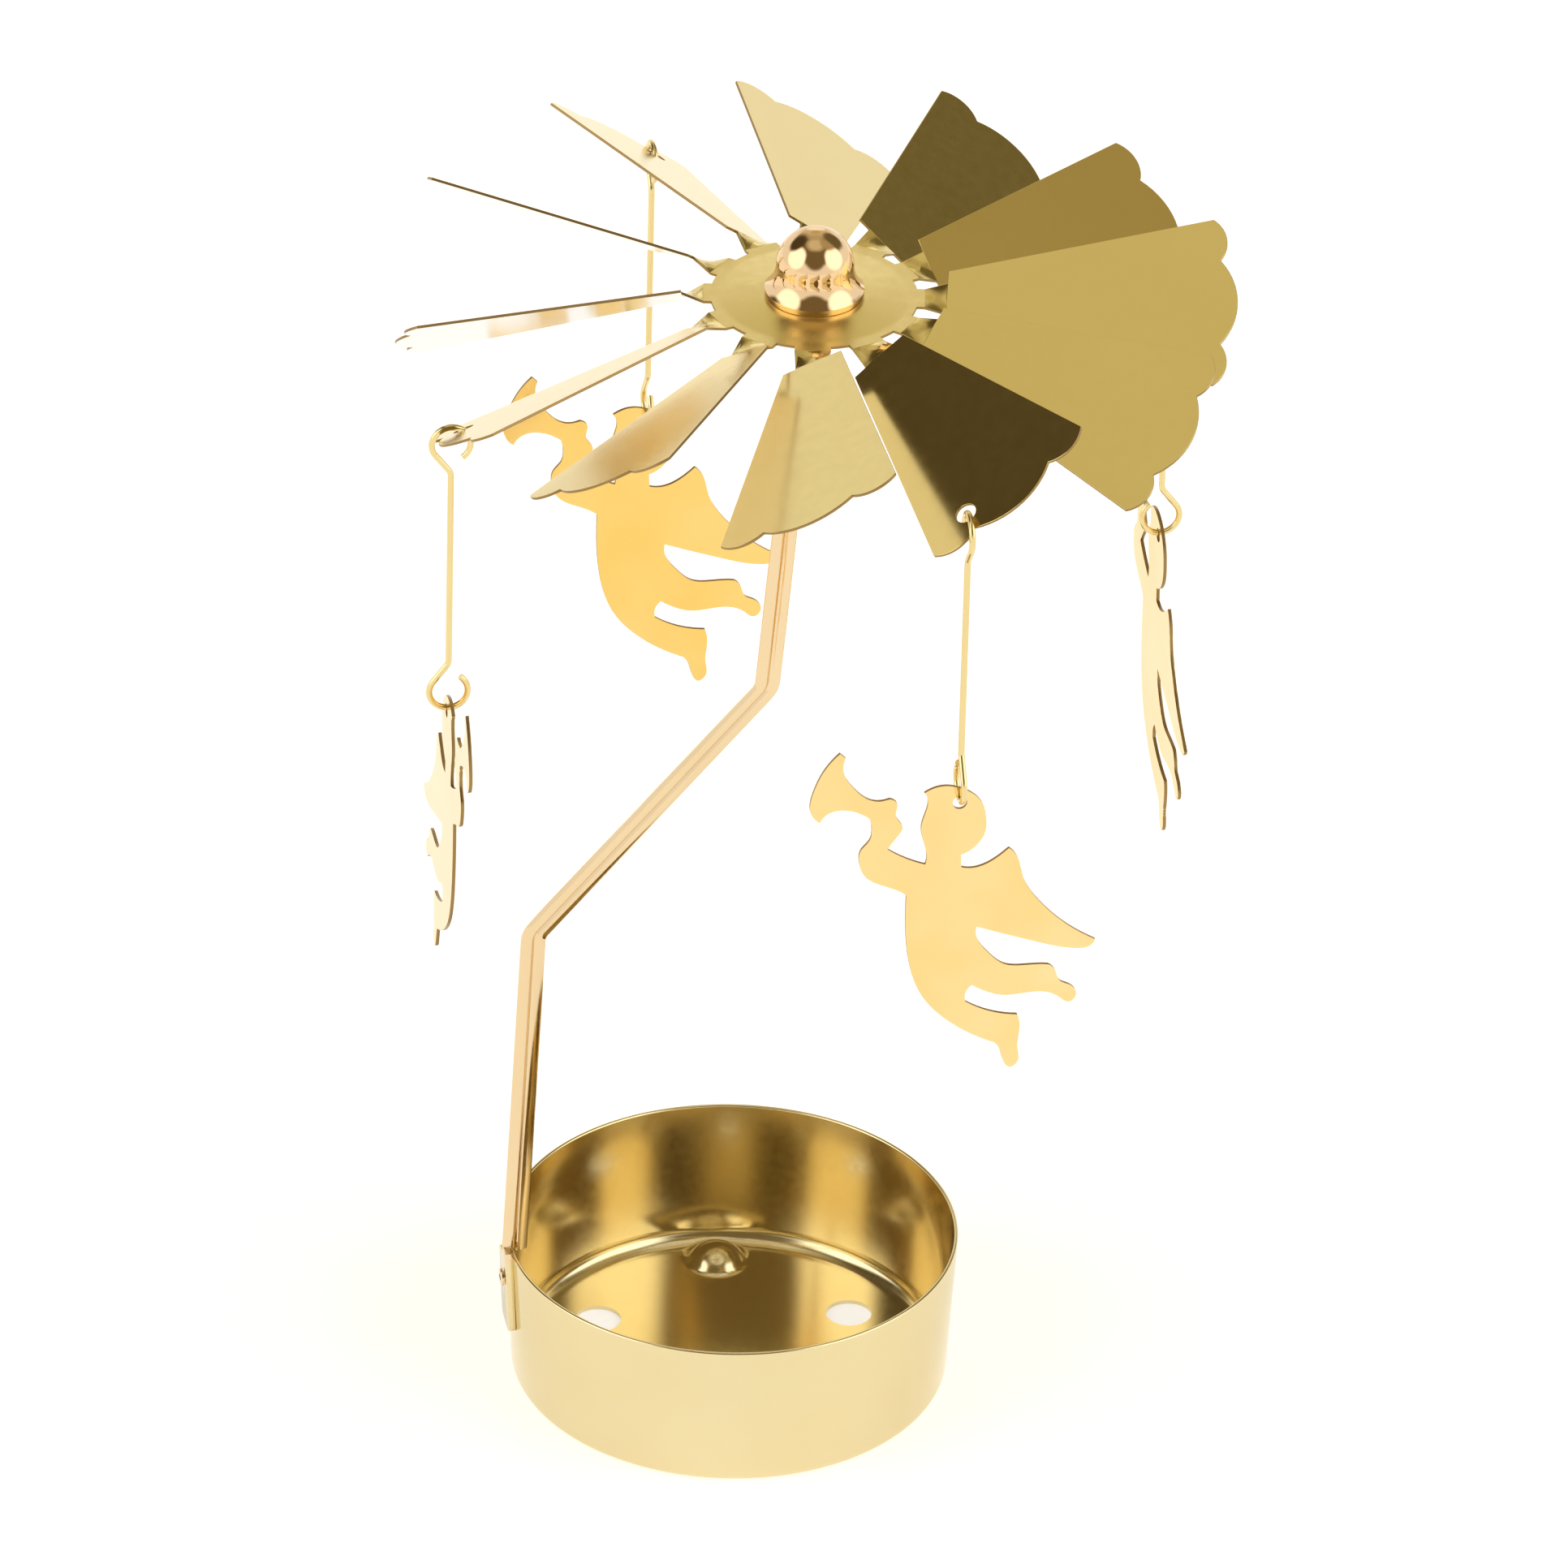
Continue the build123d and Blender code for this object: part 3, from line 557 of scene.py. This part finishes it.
def sheet_copy(node, name, *finishes):
    """Copy of a flat CAD node with its triangles joined into whole faces, ready to be finished."""
    bpy.ops.object.select_all(action="DESELECT")
    piece = bpy.data.objects.new(name, frame["nodes"][node].data.copy())
    bpy.context.scene.collection.objects.link(piece)
    bpy.context.view_layer.objects.active = piece
    piece.select_set(True)
    bpy.ops.mesh.customdata_custom_splitnormals_clear()
    bpy.ops.object.mode_set(mode="EDIT")
    bpy.ops.mesh.select_all(action="SELECT")
    bpy.ops.mesh.remove_doubles(threshold=MERGE_GAP * MM)
    bpy.ops.mesh.dissolve_limited(angle_limit=math.radians(FLAT_WITHIN))
    bpy.ops.object.mode_set(mode="OBJECT")
    return new_piece(name, *finishes)


def mark_faces(piece, sheet, under):
    """Gives the sheared finish to the cut edges of a sheet, where no face lies a sheet's thickness
    behind, and the underside's finish, a painted white reflection, to what faces down."""
    piece.data.calc_loop_triangles()
    largest = {}
    for triangle in sorted(piece.data.loop_triangles, key=lambda t: t.area):
        largest[triangle.polygon_index] = triangle
    for face in piece.data.polygons:
        start = largest[face.index].center - face.normal * NEAR * MM
        hit, place, _, _ = piece.ray_cast(start, -face.normal)
        if not hit or (place - start).length > CUT_DEPTH * sheet * MM:
            face.material_index = CUT_FINISH
        # Faces looking down take the underside finish, which on the fan is a painted white reflection
        elif under and face.normal.z < 0:
            face.material_index = UNDER_PAINTED_FINISH


def finish_sheet(piece, node, sheet, fold=SHEET_SMOOTH, under=False):
    """Rounds the edges of a sheet and keeps its folds of more than some degrees crisp."""
    mark_faces(piece, sheet, under)
    apply_modifier(
        piece, "BEVEL", width=EDGE_ROUND * MM, segments=EDGE_STEPS, limit_method="ANGLE",
        angle_limit=math.radians(ROUND_FROM),
    )
    bpy.ops.object.shade_smooth_by_angle(angle=math.radians(fold))
    apply_modifier(piece, "WEIGHTED_NORMAL", keep_sharp=True)
    seat(piece, node)


def make_fan():
    """Fan, with the folds of its raised hub pressed round and the hub's satin finish."""
    # The fan's third finish is its underside, painted near-white as a reflection of the floor
    fan = sheet_copy("fan", "fan_sheet", FAN_BRASS, SHEARED_BRASS, FAN_UNDERSIDE_PAINTED_REFLECTION, HUB_BRASS)
    axis = Vector((FAN_AXIS_X, 0)) * MM
    places = [(vertex.co.xy - axis).length / MM for vertex in fan.data.vertices]
    choose(fan, "EDGE", lambda edge: any(
        all(abs(places[i] - fold_r) < FOLD_NEAR for i in edge.vertices)
        for fold_r in (CROWN_R, CAP_SEAT_R)
    ))
    bpy.ops.mesh.bevel(offset=CROWN_ROUND * MM, segments=CROWN_STEPS)
    bpy.ops.object.mode_set(mode="OBJECT")
    finish_sheet(fan, "fan", FAN_SHEET, fold=FAN_SMOOTH, under=True)
    for face in fan.data.polygons:
        corners = [(fan.data.vertices[i].co.xy - axis).length / MM for i in face.vertices]
        if face.material_index == FACE_FINISH and max(corners) < NECK_ROOT_R + FAN_SHEET:
            face.material_index = HUB_FINISH


def make_angels():
    """Four flat angels, the back one in a deeper gold."""
    for side in SIDES:
        plating = ANGEL_DEEP_BRASS if side == "back" else ANGEL_BRASS
        plate = sheet_copy("angel_" + side, "angel_plate_" + side, plating, SHEARED_BRASS)
        finish_sheet(plate, "angel_" + side, ANGEL_SHEET)


def make_cap():
    """Turns the cap's section: the dome, the flare and the rolled skirt, then back inside."""
    low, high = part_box("finial_cap")
    centre_z = high.z / MM - CAP_DOME_R
    foot_z = low.z / MM
    reach = CAP_SKIRT_R - CAP_DOME_R
    drop = centre_z - foot_z - CAP_SKIRT_H
    flare_r = (reach ** 2 + drop ** 2) / (2 * reach)
    flare_x = CAP_DOME_R + flare_r
    inner_x = flare_x - CAP_SKIRT_R + CAP_T
    outer_end = 180 + math.degrees(math.asin(drop / flare_r))
    inner_end = 180 + math.degrees(math.acos(inner_x / (flare_r + CAP_T)))
    outer = arc(0.0, centre_z, CAP_DOME_R, 90, 0, DOME_STEPS)
    flare = arc(flare_x, centre_z, flare_r, 180, outer_end, FLARE_STEPS)
    lip = arc(CAP_SKIRT_R - CAP_LIP, foot_z + CAP_LIP, CAP_LIP, 0, -90, LIP_STEPS)
    foot = [(CAP_SKIRT_R - CAP_T, foot_z)]
    inner_flare = arc(flare_x, centre_z, flare_r + CAP_T, inner_end, 180, FLARE_STEPS)
    inner = arc(0.0, centre_z, CAP_DOME_R - CAP_T, 0, 90, DOME_STEPS)
    profile = outer + flare[1:] + lip + foot + inner_flare + inner[1:]
    turn_profile(profile, CAP_STEPS, FAN_AXIS_X)
    cap = new_piece("cap", CAP_BRASS)
    bpy.ops.object.shade_smooth_by_angle(angle=math.radians(TURNED_SMOOTH))
    seat(cap, "finial_cap")


def finish_nodes():
    """Gives the CAD nodes that stay their own finishes."""
    finishes = {
        "tab_rivet": POST_BRASS,
        "pivot_needle": GROUND_STEEL,
        "pivot_cup": TURNED_BRASS_AND_PAINTED_SHADE,
    }
    finishes.update({"hook_" + side: WIRE_BRASS for side in SIDES})
    for node, finish in finishes.items():
        mesh = frame["nodes"][node].data
        mesh.materials.clear()
        mesh.materials.append(finish)


make_camera()
make_surround()
make_floor()
bpy.context.scene.view_settings.view_transform = "Standard"
make_cup()
make_post()
make_fan()
make_cap()
make_angels()
finish_nodes()
